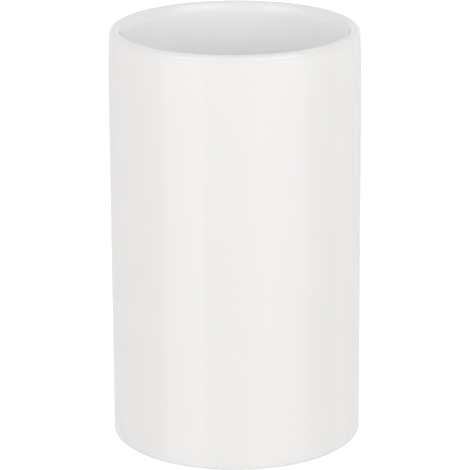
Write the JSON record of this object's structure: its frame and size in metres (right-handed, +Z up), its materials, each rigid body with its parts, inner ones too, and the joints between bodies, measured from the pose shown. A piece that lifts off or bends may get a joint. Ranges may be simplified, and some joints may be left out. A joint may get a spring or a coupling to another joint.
{
  "type": "bathroom tumbler",
  "caption": "Straight-sided white glazed ceramic cup with a rounded lip, a flat floor and clear non-slip pads under its recessed base, for a washbasin shelf.",
  "frame": {"origin": "centre of the plane that the pads rest on, on the cup's axis", "axes": "+Z up along the cup's axis, out of its mouth; X and Y are alike"},
  "size_m": [0.07, 0.07, 0.1176],
  "materials": {
    "clay": "matte",
    "glaze": "gloss",
    "pad": "satin",
    "adhesive": "satin"
  },
  "bodies": {
    "root": {"ceramic_body": "clay", "glaze_coat": "glaze", "base_glaze": "glaze", "non_slip_pad_1": "pad", "non_slip_pad_2": "pad", "non_slip_pad_3": "pad", "non_slip_pad_4": "pad", "pad_adhesive_1": "adhesive", "pad_adhesive_2": "adhesive", "pad_adhesive_3": "adhesive", "pad_adhesive_4": "adhesive"}
  },
  "joints": []
}
